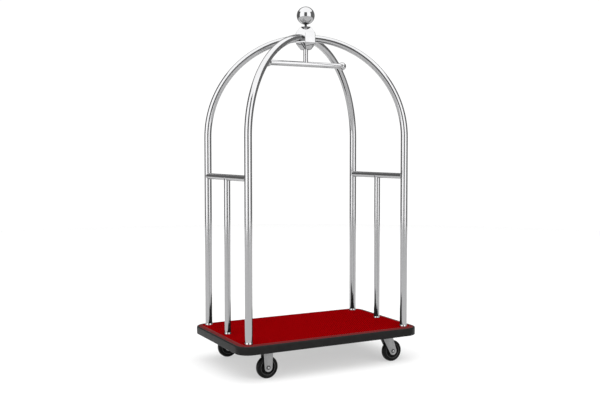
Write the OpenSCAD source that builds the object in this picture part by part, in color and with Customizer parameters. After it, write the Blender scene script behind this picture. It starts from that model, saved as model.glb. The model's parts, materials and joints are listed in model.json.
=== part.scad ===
// Hotel luggage cart: a carpeted deck on two rigid and two swivel casters, with a birdcage
// of four bent tubes that meet in a hub above a garment bar.
// Origin: on the floor under the middle of the deck. +X runs along the deck to the swivel
// end, +Y to the back, +Z up. Millimetres.

/* [Deck] */
// Length over the bumper
deck_length = 1050; // [1000:5:1150]
// Width over the bumper
deck_width = 645; // [640:5:700]
// Height of the carpet's surface above the floor
deck_height = 186; // [180:1:200]
// Radius of the deck's corners, over the bumper
corner_radius = 70; // [60:1:90]
// Height of the bumper band
bumper_height = 42; // [38:1:46]
// Thickness of the bumper band
bumper_thickness = 18; // [14:1:20]
// Thickness of the carpet
carpet_thickness = 6; // [4:1:8]
// Thickness of the plywood board
board_thickness = 16; // [14:1:20]

/* [Cage] */
// Distance from the middle of the deck to a corner post, along the deck
post_x = 456; // [440:1:460]
// Height at which the corner posts start to bend
spring_height = 1200; // [1150:5:1250]
// Outer diameter of the four bent tubes
tube_d = 38; // [36:1:39]
// Outer diameter of the mid posts and crossbars
slim_tube_d = 32; // [28:1:34]
// Wall thickness of all the tubes
tube_wall = 1.5; // [1.5:0.5:2]
// Height of the crossbars' axis
crossbar_height = 993; // [900:1:1100]
// Outer diameter of a collar at the foot of a post
collar_d = 41; // [41:1:50]

/* [Hub] */
// Distance from the hub's axis to a corner of its six-sided body
hub_radius = 60; // [58:1:62]
// Height of the six-sided body
hub_height = 54; // [52:1:58]
// Height of each tapered cap
cap_height = 33; // [25:1:40]
// Distance from the axis to a corner of a cap's small end
cap_radius = 31; // [26:1:36]
// Diameter of the finial ball
ball_d = 96; // [80:1:100]
// Length of the bare neck between the upper cap and the ball
neck_length = 14; // [10:1:20]

/* [Garment bar] */
// Height of the bar's axis
bar_height = 1589; // [1570:1:1600]
// Diameter of the bar
bar_d = 29; // [26:1:30]
// Diameter of the stem between the hub and the bar
stem_d = 25; // [22:1:28]
// Distance from the middle to the centre of an end ball
bar_half_length = 225; // [200:1:235]
// Diameter of the end balls
end_ball_d = 44; // [40:1:46]

/* [Casters] */
// Distance from the middle of the deck to a caster's axis, along the deck
caster_x = 352; // [340:1:360]
// Distance from the middle of the deck to a caster's axis, across the deck
caster_y = 250; // [245:1:250]
// Radius of the wheels
wheel_radius = 56.5; // [54:0.5:58]
// Width of the tyres
tyre_width = 30; // [26:1:30]
// Trail of the swivel casters
trail = 36; // [30:1:40]

/* [Hidden] */
$fn = 64;
hull_fn = 32;
fit_gap = 0.05;
bolt_play = 0.5;
overcut = 1;

// deck levels, from the carpet down
rim_drop = 4;
carpet_z = deck_height - carpet_thickness;
board_z = carpet_z - board_thickness;
bumper_top_z = deck_height - rim_drop;
bumper_z = bumper_top_z - bumper_height;
pad_thickness = 6;
pad_z = board_z - pad_thickness;

// deck outlines: corner centres are shared, only the radius changes
corner_x = deck_length / 2 - corner_radius;
corner_y = deck_width / 2 - corner_radius;
rim_width = 9;
border_width = 21;
border_edge = 1.5;
lower_lip_depth = 3;
lower_lip_thickness = 2;
band_thickness = 3;
band_radius = corner_radius - bumper_thickness;
board_radius = band_radius - band_thickness;
rim_radius = corner_radius - rim_width;
carpet_radius = rim_radius - fit_gap;
field_radius = rim_radius - border_width;
band_z = bumper_z + lower_lip_thickness;

// cage: the posts stand on lines at 30 degrees, so that each tube meets a hub face squarely
arm_angle = 30;
post_y = post_x * tan(arm_angle);
bend_radius = post_x / cos(arm_angle);
apex_height = spring_height + bend_radius;
arm_angles = [arm_angle, 180 - arm_angle, 180 + arm_angle, -arm_angle];
tube_bore = tube_d - 2 * tube_wall;
slim_bore = slim_tube_d - 2 * tube_wall;
slim_collar_d = slim_tube_d + collar_d - tube_d;
collar_rise = 8;
post_spots = [for (a = arm_angles) [bend_radius * cos(a), bend_radius * sin(a)]];
mid_spots = [[-post_x, 0], [post_x, 0]];

// hub levels
hub_z = apex_height - hub_height / 2;
hub_top_z = hub_z + hub_height;
cap_top_z = hub_top_z + cap_height;
cap_bottom_z = hub_z - cap_height;
hub_face_x = hub_radius * cos(30);
neck_d = 16;
ball_flat = 2;
ball_foot_z = cap_top_z + neck_length;
ball_z = ball_foot_z - ball_flat + ball_d / 2;
ball_wall = 2.5;
boss_d = 26;
boss_height = 24;
rod_d = 12;
rod_into_ball = 20;
rod_into_stem = 28;
rod_end_gap = 2;
spigot_from = 80;
spigot_sweep = 5.5;
arc_sweep = 86;
set_screw_d = 6;
set_screw_length = 10;
set_screw_reach = 72;
set_screw_angle = acos(set_screw_reach / bend_radius);

// garment bar
bar_wall = 2;
bar_into_ball = 6;
bar_tube_half = bar_half_length - end_ball_d / 2 + bar_into_ball;
ball_plug_length = 24;
ball_plug_overlap = 4;

// post fixings
plug_height = 40;
plug_roof = 5;
bolt_d = 10;
bolt_head_height = 6;
bolt_tip_gap = 10;
washer_thickness = 2;
washer_d = 20;
hex_head_d = 17.3;

// folded channels of the underframe
channel_width = 40;
channel_wall = 3;
channel_height = board_z - bumper_z;
rail_y = 150;
cross_x = 230;
long_rail_half = post_x - channel_width / 2;
rail_end_gap = 27;
end_rail_half = deck_width / 2 - rail_end_gap;
web_z = board_z - channel_wall;

// screws of the deck
deck_screw_spots = concat(
    [for (x = [-380, 0, 380]) for (y = [-rail_y, rail_y]) [x, y]],
    [for (x = [-cross_x, cross_x]) [x, 0]],
    [for (x = [-post_x, post_x]) for (y = [-90, 90]) [x, y]]
);
deck_screw_d = 4;
deck_screw_hole_d = 5;
deck_screw_head_d = 9;
deck_screw_head_height = 3;
deck_screw_bite = 11;
edge_screw_z = carpet_z - 6;
edge_screw_d = 4;
edge_screw_head_d = 8;
edge_screw_length = 22;

// casters
plate_size = [100, 80];
plate_thickness = 3;
plate_z = pad_z - plate_thickness;
caster_bolt_d = 8;
caster_head_d = 14.4;
caster_head_height = 5;
caster_nut_d = 15;
caster_nut_height = 6.5;
nut_pocket_d = 16.5;
nut_pocket_depth = 8;
caster_bolt_spots = [for (x = [-40, 40]) for (y = [-30, 30]) [x, y]];
caster_spots = [for (x = [-caster_x, caster_x]) for (y = [-caster_y, caster_y]) [x, y]];
leg_thickness = 3;
leg_gap = 34;
leg_end_radius = 21;
leg_root = 1;
rigid_leg_half = 27;
swivel_leg_half = 31;
crown_top_z = bumper_z;
race_gap = 7.4;
race_z = crown_top_z + race_gap;
race_radius = 24;
race_half_width = 7;
bearing_ball_d = 6.8;
bearing_ball_gap = 0.1;
bearing_ball_count = 16;
kingpin_d = 12;
kingpin_head_d = 20;
kingpin_head_height = 3;
kingpin_gap = 0.3;
axle_d = 10;
axle_hole_d = 10.2;
axle_tail = 12;
axle_nut_height = 8;
button_head_d = 17;
button_head_height = 5;
sleeve_d = 14;
bush_d = 20;
bush_length = 13.5;
bush_end_gap = 0.5;
core_radius = 40;
rim_half = 13;
swivel_axle_x = caster_x + trail;
swivel_spots = [[caster_x, -caster_y], [caster_x, caster_y]];

// ---------- shared shapes ----------

// Sweeps a profile round the deck's outline. The profile's x is the distance from a corner
// centre and its y is the height.
module deck_ring() {
    for (corner = [[1, 1, 0], [-1, 1, 90], [-1, -1, 180], [1, -1, 270]])
        translate([corner[0] * corner_x, corner[1] * corner_y, 0])
            rotate([0, 0, corner[2]])
                rotate_extrude(angle = 90)
                    children();
    for (side = [0, 180]) {
        rotate([0, 0, side])
            translate([corner_x, corner_y, 0])
                rotate([90, 0, 0])
                    linear_extrude(2 * corner_y)
                        children();
        rotate([0, 0, side])
            translate([-corner_x, corner_y, 0])
                rotate([90, 0, 90])
                    linear_extrude(2 * corner_x)
                        children();
    }
}

// Plate with the deck's rounded outline, at a given corner radius
module deck_plate(radius, z, thickness) {
    deck_ring()
        translate([0, z])
            square([radius, thickness]);
    translate([-corner_x, -corner_y, z])
        cube([2 * corner_x, 2 * corner_y, thickness]);
}

// Ring or pipe section
module pipe(outer_d, inner_d, length) {
    linear_extrude(length)
        difference() {
            circle(d = outer_d);
            circle(d = inner_d);
        }
}

// Repeats its children at each [x, y] of a list
module at(spots) {
    for (spot = spots)
        translate([spot[0], spot[1], 0])
            children();
}

// Cutting cylinder that runs past both faces of a plate
module hole(diameter, z, thickness) {
    translate([0, 0, z - overcut])
        cylinder(d = diameter, h = thickness + 2 * overcut);
}

// Folded channel along X, open downwards, centred on its length
module channel(length) {
    translate([-length / 2, -channel_width / 2, bumper_z])
        difference() {
            cube([length, channel_width, channel_height]);
            translate([-overcut, channel_wall, -channel_wall])
                cube([length + 2 * overcut, channel_width - 2 * channel_wall, channel_height]);
        }
}

// ---------- deck ----------

// Straight screws through the metal band into the board's edge
module edge_screw_places() {
    for (side = [0, 180]) {
        for (x = [-400:200:400])
            rotate([0, 0, side])
                translate([x, corner_y + band_radius, edge_screw_z])
                    rotate([90, 0, 0])
                        children();
        for (y = [-150:150:150])
            rotate([0, 0, side])
                translate([corner_x + band_radius, y, edge_screw_z])
                    rotate([0, -90, 0])
                        children();
    }
}

module deck_board() {
    color("burlywood")
        difference() {
            deck_plate(board_radius, board_z, board_thickness);
            at(concat(post_spots, mid_spots))
                hole(bolt_d + bolt_play, board_z, board_thickness);
            at(caster_spots)
                at(caster_bolt_spots)
                    hole(nut_pocket_d, board_z, nut_pocket_depth - overcut);
            at(deck_screw_spots)
                hole(deck_screw_d + 2 * fit_gap, board_z, deck_screw_bite);
            edge_screw_places()
                cylinder(d = edge_screw_d + 2 * fit_gap, h = edge_screw_length + overcut);
        }
}

// Flat field with a border that slopes down to the bumper's rim
module carpet() {
    color("darkred")
        difference() {
            union() {
                deck_plate(field_radius, carpet_z, carpet_thickness);
                deck_ring()
                    polygon([
                        [field_radius - overcut, carpet_z],
                        [carpet_radius, carpet_z],
                        [carpet_radius, carpet_z + border_edge],
                        [field_radius, deck_height],
                        [field_radius - overcut, deck_height]
                    ]);
            }
            at(post_spots)
                hole(collar_d + 2 * fit_gap, carpet_z, carpet_thickness);
            at(mid_spots)
                hole(slim_collar_d + 2 * fit_gap, carpet_z, carpet_thickness);
        }
}

// Band with rounded outer edges, a rim round the carpet, a flange under the carpet's border
// and a lower lip under the metal band
module bumper_profile() {
    top_round = 6;
    foot_round = 5;
    upper_arc = [for (a = [0:22.5:90])
        [corner_radius - top_round * (1 - cos(a)), bumper_top_z - top_round * (1 - sin(a))]];
    lower_arc = [for (a = [0:22.5:90])
        [corner_radius - foot_round * (1 - sin(a)), bumper_z + foot_round * (1 - cos(a))]];
    polygon(concat(
        lower_arc,
        upper_arc,
        [
            [rim_radius, bumper_top_z],
            [rim_radius, carpet_z],
            [band_radius, carpet_z],
            [band_radius, band_z],
            [band_radius - lower_lip_depth, band_z],
            [band_radius - lower_lip_depth, bumper_z]
        ]
    ));
}

module bumper() {
    color([0.13, 0.13, 0.13])
        deck_ring()
            bumper_profile();
}

module edge_band() {
    color("silver")
        difference() {
            deck_ring()
                translate([board_radius, band_z])
                    square([band_thickness, carpet_z - band_z]);
            edge_screw_places()
                hole(edge_screw_head_d + 2 * fit_gap, 0, band_thickness);
        }
}

module edge_screws() {
    color("dimgray")
        edge_screw_places() {
            cylinder(d = edge_screw_head_d, h = band_thickness);
            cylinder(d = edge_screw_d, h = edge_screw_length);
        }
}

module end_rail(side) {
    color("slategray")
        difference() {
            translate([side * post_x, 0, 0])
                rotate([0, 0, 90])
                    channel(2 * end_rail_half);
            at(concat(post_spots, mid_spots))
                hole(bolt_d + bolt_play, web_z, channel_wall);
            at(deck_screw_spots)
                hole(deck_screw_hole_d, web_z, channel_wall);
        }
}

module long_rail(side) {
    color("slategray")
        difference() {
            translate([0, side * rail_y, 0])
                channel(2 * long_rail_half);
            at(deck_screw_spots)
                hole(deck_screw_hole_d, web_z, channel_wall);
        }
}

module cross_rails() {
    color("slategray")
        difference() {
            at([[-cross_x, 0], [cross_x, 0]])
                rotate([0, 0, 90])
                    channel(2 * rail_y - channel_width);
            at(deck_screw_spots)
                hole(deck_screw_hole_d, web_z, channel_wall);
        }
}

module deck_screws() {
    color("gainsboro")
        at(deck_screw_spots)
            translate([0, 0, web_z]) {
                translate([0, 0, -deck_screw_head_height])
                    cylinder(d = deck_screw_head_d, h = deck_screw_head_height);
                cylinder(d = deck_screw_d, h = channel_wall + deck_screw_bite);
            }
}

// ---------- cage ----------

// Moves its children into the upright plane of one arm: X outwards from the hub, Z up
module arm_plane(angle) {
    rotate([0, 0, angle])
        children();
}

// Part of a circle in an arm's plane, from an angle above the spring line, for a profile
module arm_arc(from_angle, sweep) {
    translate([0, 0, spring_height])
        rotate([0, -from_angle, 0])
            rotate([90, 0, 0])
                rotate_extrude(angle = sweep)
                    translate([bend_radius, 0])
                        children();
}

// Cylinder that enters the underside of an arm where its set screw sits
module set_screw_shape(diameter, length) {
    translate([0, 0, spring_height])
        rotate([0, -set_screw_angle, 0])
            translate([bend_radius - tube_d / 2, 0, 0])
                rotate([0, 90, 0])
                    cylinder(d = diameter, h = length);
}

module hub_prism(radius, z, height) {
    translate([0, 0, z])
        cylinder(r = radius, h = height, $fn = 6);
}

// Straight post and quarter bend, cut off flat where the tube meets its face of the hub
module hoop(angle) {
    color("gainsboro")
        arm_plane(angle) {
            translate([bend_radius, 0, carpet_z])
                pipe(tube_d, tube_bore, spring_height - carpet_z);
            difference() {
                arm_arc(0, arc_sweep)
                    difference() {
                        circle(d = tube_d);
                        circle(d = tube_bore);
                    }
                translate([0, -tube_d, hub_z - tube_d])
                    cube([hub_face_x, 2 * tube_d, 2 * tube_d + hub_height]);
                set_screw_shape(set_screw_d + 2 * fit_gap, set_screw_length);
            }
        }
}

module mid_post(side) {
    color("gainsboro")
        difference() {
            translate([side * post_x, 0, carpet_z])
                pipe(slim_tube_d, slim_bore, crossbar_height - carpet_z);
            translate([side * post_x, 0, crossbar_height])
                rotate([90, 0, 0])
                    cylinder(d = slim_tube_d, h = 2 * tube_d, center = true);
        }
}

module crossbar(side) {
    color("gainsboro")
        difference() {
            translate([side * post_x, post_y, crossbar_height])
                rotate([90, 0, 0])
                    pipe(slim_tube_d, slim_bore, 2 * post_y);
            for (end = [-1, 1])
                translate([side * post_x, end * post_y, crossbar_height])
                    cylinder(d = tube_d, h = 2 * tube_d, center = true);
        }
}

module base_collars() {
    color("white")
        translate([0, 0, carpet_z]) {
            at(post_spots)
                pipe(collar_d, tube_d + 2 * fit_gap, carpet_thickness + collar_rise);
            at(mid_spots)
                pipe(slim_collar_d, slim_tube_d + 2 * fit_gap, carpet_thickness + collar_rise);
        }
}

module plug(diameter) {
    translate([0, 0, carpet_z])
        difference() {
            cylinder(d = diameter, h = plug_height);
            translate([0, 0, -overcut])
                cylinder(d = bolt_d + 2 * fit_gap, h = plug_height - plug_roof + overcut);
        }
}

module post_plugs() {
    color("gray") {
        at(post_spots)
            plug(tube_bore - 2 * fit_gap);
        at(mid_spots)
            plug(slim_bore - 2 * fit_gap);
    }
}

module post_bolts() {
    head_z = web_z - washer_thickness;
    color("darkgray")
        at(concat(post_spots, mid_spots)) {
            translate([0, 0, head_z - bolt_head_height])
                cylinder(d = hex_head_d, h = bolt_head_height, $fn = 6);
            translate([0, 0, head_z])
                cylinder(d = bolt_d, h = carpet_z - head_z + plug_height - bolt_tip_gap);
        }
}

module post_washers() {
    color("silver")
        at(concat(post_spots, mid_spots))
            translate([0, 0, web_z - washer_thickness])
                pipe(washer_d, bolt_d + 2 * fit_gap, washer_thickness);
}

// ---------- hub ----------

module hub_body() {
    color("whitesmoke")
        difference() {
            union() {
                hub_prism(hub_radius, hub_z, hub_height);
                for (angle = arm_angles)
                    arm_plane(angle)
                        arm_arc(spigot_from, spigot_sweep)
                            circle(d = tube_bore - 2 * fit_gap);
            }
            hole(rod_d + bolt_play, hub_z, hub_height);
            for (angle = arm_angles)
                arm_plane(angle)
                    set_screw_shape(set_screw_d + 2 * fit_gap, set_screw_length + overcut);
        }
}

module hub_set_screws() {
    color("dimgray")
        for (angle = arm_angles)
            arm_plane(angle)
                set_screw_shape(set_screw_d, set_screw_length);
}

module cap(z, lower_radius, upper_radius) {
    difference() {
        translate([0, 0, z])
            cylinder(r1 = lower_radius, r2 = upper_radius, h = cap_height, $fn = 6);
        hole(rod_d + bolt_play, z, cap_height);
    }
}

module hub_top_cap() {
    color("whitesmoke")
        cap(hub_top_z, hub_radius, cap_radius);
}

module hub_bottom_cap() {
    color("lightgray")
        cap(cap_bottom_z, cap_radius, hub_radius);
}

module tie_rod() {
    color("dimgray")
        translate([0, 0, cap_bottom_z - rod_into_stem])
            cylinder(d = rod_d, h = ball_foot_z - cap_bottom_z + rod_into_ball + rod_into_stem);
}

module finial_neck() {
    color("gainsboro")
        translate([0, 0, cap_top_z])
            pipe(neck_d, rod_d + 2 * fit_gap, neck_length);
}

// Hollow ball with a flat foot and an inner boss that the tie rod screws into
module finial_ball() {
    color("white")
        difference() {
            union() {
                translate([0, 0, ball_z])
                    difference() {
                        sphere(d = ball_d);
                        sphere(d = ball_d - 2 * ball_wall);
                    }
                translate([0, 0, ball_foot_z])
                    cylinder(d = boss_d, h = boss_height);
            }
            translate([0, 0, ball_foot_z - 2 * ball_flat])
                cylinder(d = ball_d, h = 2 * ball_flat);
            hole(rod_d + 2 * fit_gap, ball_foot_z, rod_into_ball);
        }
}

module hanger_stem() {
    color("gainsboro")
        difference() {
            translate([0, 0, bar_height])
                cylinder(d = stem_d, h = cap_bottom_z - bar_height);
            translate([0, 0, bar_height])
                rotate([0, 90, 0])
                    cylinder(d = bar_d, h = 2 * bar_d, center = true);
            hole(rod_d + 2 * fit_gap, cap_bottom_z - rod_into_stem, rod_into_stem);
        }
}

module hanger_bar() {
    color("gainsboro")
        translate([-bar_tube_half, 0, bar_height])
            rotate([0, 90, 0])
                pipe(bar_d, bar_d - 2 * bar_wall, 2 * bar_tube_half);
}

// Balls cut flat against the bar's ends, each with a plug inside the bar
module hanger_balls() {
    plug_x = bar_tube_half + ball_plug_overlap - ball_plug_length;
    color("white")
        for (side = [0, 180])
            rotate([0, 0, side])
                translate([0, 0, bar_height]) {
                    difference() {
                        translate([bar_half_length, 0, 0])
                            sphere(d = end_ball_d);
                        translate([bar_tube_half - end_ball_d, 0, 0])
                            rotate([0, 90, 0])
                                cylinder(d = end_ball_d, h = end_ball_d);
                    }
                    translate([plug_x, 0, 0])
                        rotate([0, 90, 0])
                            cylinder(d = bar_d - 2 * bar_wall - 2 * fit_gap, h = ball_plug_length);
                }
}

// ---------- casters ----------

// One upright or slanted side of a fork, from the crown to a round end at the axle
module fork_leg(top_z, top_half, axle_x) {
    rotate([90, 0, 0])
        linear_extrude(leg_thickness, center = true)
            hull() {
                translate([axle_x, wheel_radius])
                    circle(r = leg_end_radius, $fn = hull_fn);
                translate([-top_half, top_z - leg_root])
                    square([2 * top_half, leg_root]);
            }
}

module fork_legs(top_z, top_half, axle_x) {
    difference() {
        for (side = [-1, 1])
            translate([0, side * (leg_gap + leg_thickness) / 2, 0])
                fork_leg(top_z, top_half, axle_x);
        translate([axle_x, 0, wheel_radius])
            rotate([90, 0, 0])
                cylinder(d = axle_hole_d, h = 2 * leg_gap, center = true);
    }
}

module bolted_plate() {
    difference() {
        translate([-plate_size[0] / 2, -plate_size[1] / 2, plate_z])
            cube([plate_size[0], plate_size[1], plate_thickness]);
        at(caster_bolt_spots)
            hole(caster_bolt_d + bolt_play, plate_z, plate_thickness);
    }
}

module rigid_fork(side) {
    color("gray")
        translate([-caster_x, side * caster_y, 0]) {
            bolted_plate();
            fork_legs(plate_z, rigid_leg_half, 0);
        }
}

module swivel_fork(side) {
    crown_z = crown_top_z - leg_thickness;
    color("gray")
        translate([caster_x, side * caster_y, 0]) {
            difference() {
                translate([0, 0, crown_z])
                    cylinder(r = swivel_leg_half, h = leg_thickness);
                hole(kingpin_d + 2 * fit_gap, crown_z, leg_thickness);
            }
            fork_legs(crown_z, swivel_leg_half, trail);
        }
}

module swivel_plates() {
    color("silver")
        at(swivel_spots) {
            difference() {
                bolted_plate();
                hole(kingpin_d + 2 * fit_gap, plate_z, plate_thickness);
            }
            translate([0, 0, race_z])
                pipe(
                    2 * (race_radius + race_half_width),
                    2 * (race_radius - race_half_width),
                    plate_z - race_z
                );
        }
}

module kingpins() {
    head_top = crown_top_z - leg_thickness - kingpin_gap;
    color("silver")
        at(swivel_spots) {
            translate([0, 0, head_top - kingpin_head_height])
                cylinder(d = kingpin_head_d, h = kingpin_head_height);
            translate([0, 0, head_top])
                cylinder(d = kingpin_d, h = pad_z - head_top);
        }
}

module bearing_balls(side) {
    color("white")
        translate([caster_x, side * caster_y, crown_top_z + bearing_ball_gap + bearing_ball_d / 2])
            for (turn = [0:bearing_ball_count - 1])
                rotate([0, 0, turn * 360 / bearing_ball_count])
                    translate([race_radius, 0, 0])
                        sphere(d = bearing_ball_d, $fn = hull_fn);
}

module caster_pads() {
    pad_size = [110, 100];
    color("slategray")
        at(caster_spots)
            difference() {
                translate([-pad_size[0] / 2, -pad_size[1] / 2, pad_z])
                    cube([pad_size[0], pad_size[1], pad_thickness]);
                at(caster_bolt_spots)
                    hole(caster_bolt_d + bolt_play, pad_z, pad_thickness);
            }
}

module caster_bolts() {
    color("darkgray")
        at(caster_spots)
            at(caster_bolt_spots) {
                translate([0, 0, plate_z - caster_head_height])
                    cylinder(d = caster_head_d, h = caster_head_height, $fn = 6);
                translate([0, 0, plate_z])
                    cylinder(d = caster_bolt_d, h = board_z - plate_z + caster_nut_height);
            }
}

module caster_nuts() {
    color("gainsboro")
        at(caster_spots)
            at(caster_bolt_spots)
                difference() {
                    translate([0, 0, board_z])
                        cylinder(d = caster_nut_d, h = caster_nut_height, $fn = 6);
                    hole(caster_bolt_d + 2 * fit_gap, board_z, caster_nut_height);
                }
}

// Puts its children at a wheel's centre, with the wheel's axis along Z and the outer side up
module at_axle(x, side) {
    translate([x, side * caster_y, wheel_radius])
        rotate([-90 * side, 0, 0])
            children();
}

// Bolt with its head on the outer side, nut on the inner side, and the sleeve between the legs
module axle(x, side) {
    outer = leg_gap / 2 + leg_thickness;
    color("darkgray")
        at_axle(x, side) {
            translate([0, 0, outer])
                cylinder(d = button_head_d, h = button_head_height);
            translate([0, 0, -outer - axle_tail])
                cylinder(d = axle_d, h = 2 * outer + axle_tail);
            difference() {
                translate([0, 0, -outer - axle_nut_height])
                    cylinder(d = hex_head_d, h = axle_nut_height, $fn = 6);
                hole(axle_d + 2 * fit_gap, -outer - axle_nut_height, axle_nut_height);
            }
            translate([0, 0, -leg_gap / 2])
                pipe(sleeve_d, axle_d + 2 * fit_gap, leg_gap);
        }
}

module bushes(x, side) {
    color("ivory")
        at_axle(x, side)
            for (half = [0, 180])
                rotate([half, 0, 0])
                    translate([0, 0, leg_gap / 2 - bush_end_gap - bush_length])
                        pipe(bush_d, sleeve_d + 2 * fit_gap, bush_length);
}

module core(x, side) {
    hub_half = 15;
    web_half = 5;
    hub_radius_outer = 17;
    rim_radius_inner = 35;
    draft = 2;
    half_profile = [
        [bush_d / 2 + fit_gap, hub_half],
        [hub_radius_outer, hub_half],
        [hub_radius_outer + draft, web_half],
        [rim_radius_inner - draft, web_half],
        [rim_radius_inner, rim_half],
        [core_radius, rim_half]
    ];
    color([0.1, 0.1, 0.1])
        at_axle(x, side)
            rotate_extrude()
                polygon(concat(
                    half_profile,
                    [for (i = [len(half_profile) - 1:-1:0]) [half_profile[i][0], -half_profile[i][1]]]
                ));
}

module tyre(x, side) {
    shoulder = 10;
    flat_half = tyre_width / 2 - shoulder;
    upper = concat(
        [[core_radius + fit_gap, rim_half]],
        [for (a = [90:-15:0]) [wheel_radius - shoulder + shoulder * cos(a), flat_half + shoulder * sin(a)]]
    );
    color([0.07, 0.07, 0.07])
        at_axle(x, side)
            rotate_extrude()
                polygon(concat(
                    upper,
                    [for (i = [len(upper) - 1:-1:0]) [upper[i][0], -upper[i][1]]]
                ));
}

// ---------- nodes ----------

deck_board();
carpet();
bumper();
edge_band();
edge_screws();
end_rail(-1);  // end_rail_left
end_rail(1);  // end_rail_right
long_rail(-1);  // long_rail_front
long_rail(1);  // long_rail_back
cross_rails();
deck_screws();
caster_pads();
caster_bolts();
caster_nuts();
hoop(arm_angles[2]);  // hoop_front_left
hoop(arm_angles[3]);  // hoop_front_right
hoop(arm_angles[1]);  // hoop_back_left
hoop(arm_angles[0]);  // hoop_back_right
mid_post(-1);  // mid_post_left
mid_post(1);  // mid_post_right
crossbar(-1);  // crossbar_left
crossbar(1);  // crossbar_right
base_collars();
post_plugs();
post_bolts();
post_washers();
hub_body();
hub_top_cap();
hub_bottom_cap();
hub_set_screws();
tie_rod();
finial_neck();
finial_ball();
hanger_stem();
hanger_bar();
hanger_balls();
rigid_fork(-1);  // fork_front_left
axle(-caster_x, -1);  // axle_front_left
bushes(-caster_x, -1);  // bushes_front_left
core(-caster_x, -1);  // core_front_left
tyre(-caster_x, -1);  // tyre_front_left
rigid_fork(1);  // fork_back_left
axle(-caster_x, 1);  // axle_back_left
bushes(-caster_x, 1);  // bushes_back_left
core(-caster_x, 1);  // core_back_left
tyre(-caster_x, 1);  // tyre_back_left
swivel_plates();
kingpins();
swivel_fork(-1);  // fork_front_right
axle(swivel_axle_x, -1);  // axle_front_right
bushes(swivel_axle_x, -1);  // bushes_front_right
core(swivel_axle_x, -1);  // core_front_right
tyre(swivel_axle_x, -1);  // tyre_front_right
swivel_fork(1);  // fork_back_right
axle(swivel_axle_x, 1);  // axle_back_right
bushes(swivel_axle_x, 1);  // bushes_back_right
core(swivel_axle_x, 1);  // core_back_right
tyre(swivel_axle_x, 1);  // tyre_back_right
bearing_balls(-1);  // bearing_balls_front
bearing_balls(1);  // bearing_balls_back
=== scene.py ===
"""Looks of the hotel luggage cart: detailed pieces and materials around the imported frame."""
import json
import math

import bmesh
import bpy
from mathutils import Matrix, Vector


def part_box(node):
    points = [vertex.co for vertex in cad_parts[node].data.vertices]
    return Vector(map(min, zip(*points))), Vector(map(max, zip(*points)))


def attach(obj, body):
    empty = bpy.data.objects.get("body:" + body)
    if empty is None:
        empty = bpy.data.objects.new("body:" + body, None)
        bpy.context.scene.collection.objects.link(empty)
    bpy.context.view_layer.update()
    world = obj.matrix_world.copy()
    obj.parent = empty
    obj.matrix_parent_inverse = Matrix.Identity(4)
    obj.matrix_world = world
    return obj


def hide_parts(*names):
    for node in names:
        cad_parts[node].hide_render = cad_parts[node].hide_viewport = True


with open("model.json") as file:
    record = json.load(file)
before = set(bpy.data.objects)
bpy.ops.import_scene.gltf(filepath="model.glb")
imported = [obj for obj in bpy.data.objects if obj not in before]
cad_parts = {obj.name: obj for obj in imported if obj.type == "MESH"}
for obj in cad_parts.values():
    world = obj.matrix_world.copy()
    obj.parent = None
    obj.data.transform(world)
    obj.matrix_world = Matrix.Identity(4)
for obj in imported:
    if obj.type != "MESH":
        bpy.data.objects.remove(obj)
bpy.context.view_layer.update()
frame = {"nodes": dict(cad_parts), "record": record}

MM = 0.001
POLE = 0.01 * MM  # radius of the tiny face that closes a turned shape
X, Y, Z = Vector((1, 0, 0)), Vector((0, 1, 0)), Vector((0, 0, 1))

# ---------- sizes, from the frame's boxes ----------

bumper_lo, bumper_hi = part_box("bumper")
carpet_lo, carpet_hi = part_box("carpet")
board_top = carpet_lo.z
CORNER_RADIUS = 70 * MM  # over the bumper
CORNER_X = bumper_hi.x - CORNER_RADIUS
CORNER_Y = bumper_hi.y - CORNER_RADIUS
CARPET_RADIUS = carpet_hi.x - CORNER_X
BORDER_WIDTH = 21 * MM
FIELD_RADIUS = CARPET_RADIUS - BORDER_WIDTH  # of the flat, ribbed part of the carpet
RIB_HEIGHT = 1.6 * MM
BAND_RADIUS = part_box("edge_band")[1].x - CORNER_X

slim_lo, slim_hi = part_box("mid_post_right")
SLIM_RADIUS = (slim_hi.x - slim_lo.x) / 2
POST_X = (slim_hi.x + slim_lo.x) / 2
TUBE_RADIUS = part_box("hoop_front_right")[1].x - POST_X
POST_Y = -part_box("hoop_front_right")[0].y - TUBE_RADIUS
BEND_RADIUS = math.hypot(POST_X, POST_Y)
POST_ANGLE = math.degrees(math.atan2(POST_Y, POST_X))
crossbar_lo, crossbar_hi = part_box("crossbar_right")
CROSSBAR_Z = (crossbar_lo.z + crossbar_hi.z) / 2

hub_lo, hub_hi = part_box("hub_body")
cap_lo, cap_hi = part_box("hub_top_cap")
HUB_RADIUS = cap_hi.x
HUB_FACE = HUB_RADIUS * math.cos(math.radians(30))
SPRING_Z = (hub_lo.z + hub_hi.z) / 2 - BEND_RADIUS
CAP_END_RADIUS = 31 * MM
BALL_RADIUS = 48 * MM
BALL_CENTRE = Vector((0, 0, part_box("finial_ball")[1].z - BALL_RADIUS))

bar_lo, bar_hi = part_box("hanger_bar")
BAR_Z = (bar_lo.z + bar_hi.z) / 2
BAR_RADIUS = (bar_hi.z - bar_lo.z) / 2
STEM_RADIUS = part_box("hanger_stem")[1].x
end_ball_lo, end_ball_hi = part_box("hanger_balls")
END_BALL_RADIUS = (end_ball_hi.z - end_ball_lo.z) / 2
END_BALL_X = end_ball_hi.x - END_BALL_RADIUS

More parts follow.
